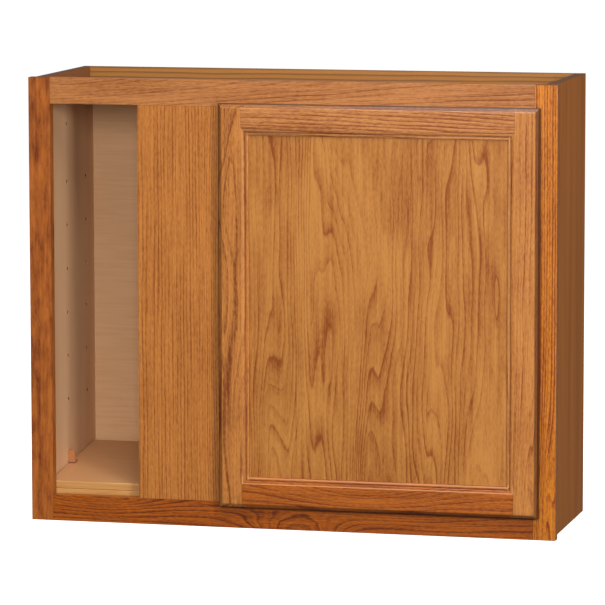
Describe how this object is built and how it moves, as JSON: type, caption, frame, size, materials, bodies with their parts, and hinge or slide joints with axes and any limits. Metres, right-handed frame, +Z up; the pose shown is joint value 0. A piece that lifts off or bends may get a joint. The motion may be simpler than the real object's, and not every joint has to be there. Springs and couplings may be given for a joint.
{
  "type": "hanging wall cabinet",
  "caption": "Wall-hung blind corner cabinet: oak face frame with an open blind bay, a fixed blind panel, a framed door on concealed hinges, adjustable shelves and hanging rails.",
  "frame": {"origin": "on the back face, in the middle of the width, level with the cabinet's bottom edge", "axes": "+X to the right as seen from the front, +Y out of the back face into the wall, +Z up"},
  "size_m": [0.9144, 0.3264, 0.762],
  "materials": {
    "oak_frame": "satin lacquer over stained oak",
    "oak_blind_panel": "satin lacquer over stained oak",
    "oak_door": "satin lacquer over stained oak",
    "oak_veneer": "satin lacquer over oak veneer",
    "side_laminate": "printed brown laminate outside, tan laminate inside",
    "inner_laminate": "matt maple laminate",
    "shelf_edging": "satin edge strip",
    "pine": "sawn and lightly sealed",
    "beech_dowel": "plain",
    "clip_plastic": "moulded tan plastic",
    "bumper": "soft clear pad",
    "hinge_steel": "nickel plated",
    "screw_steel": "zinc plated",
    "staple_steel": "galvanised"
  },
  "bodies": {
    "cabinet": {"left_stile": "oak_frame", "right_stile": "oak_frame", "top_rail": "oak_frame", "bottom_rail": "oak_frame", "blind_panel": "oak_blind_panel", "frame_dowels": "beech_dowel", "left_side": "side_laminate", "right_side": "side_laminate", "top_panel": "inner_laminate", "bottom_panel": "inner_laminate", "back_panel": "inner_laminate", "upper_hanging_rail": "pine", "lower_hanging_rail": "pine", "back_staples": "staple_steel", "upper_shelf": "inner_laminate", "lower_shelf": "inner_laminate", "upper_shelf_edging": "shelf_edging", "lower_shelf_edging": "shelf_edging", "upper_hinge_arm": "hinge_steel", "lower_hinge_arm": "hinge_steel", "hinge_arm_screws": "screw_steel"},
    "door": {"door_hinge_stile": "oak_door", "door_pull_stile": "oak_door", "door_top_rail": "oak_door", "door_bottom_rail": "oak_door", "door_panel": "oak_veneer", "door_bumpers": "bumper", "upper_hinge_cup": "hinge_steel", "lower_hinge_cup": "hinge_steel", "upper_hinge_pin": "hinge_steel", "lower_hinge_pin": "hinge_steel", "hinge_cup_screws": "screw_steel"},
    "left_clip": {"left_shelf_clip": "clip_plastic"},
    "right_clip": {"right_shelf_clip": "clip_plastic"}
  },
  "joints": [
    {"name": "door_hinge", "type": "hinge", "parent": "cabinet", "child": "door", "pos_m": [0.4236, -0.3163, 0.381], "axis": [0, 0, 1], "range_deg": [0, 105]},
    {"name": "left_clip_pull", "type": "slide", "parent": "cabinet", "child": "left_clip", "axis": [1, 0, 0], "range_m": [0, 0.009]},
    {"name": "right_clip_pull", "type": "slide", "parent": "cabinet", "child": "right_clip", "axis": [-1, 0, 0], "range_m": [0, 0.009]}
  ]
}
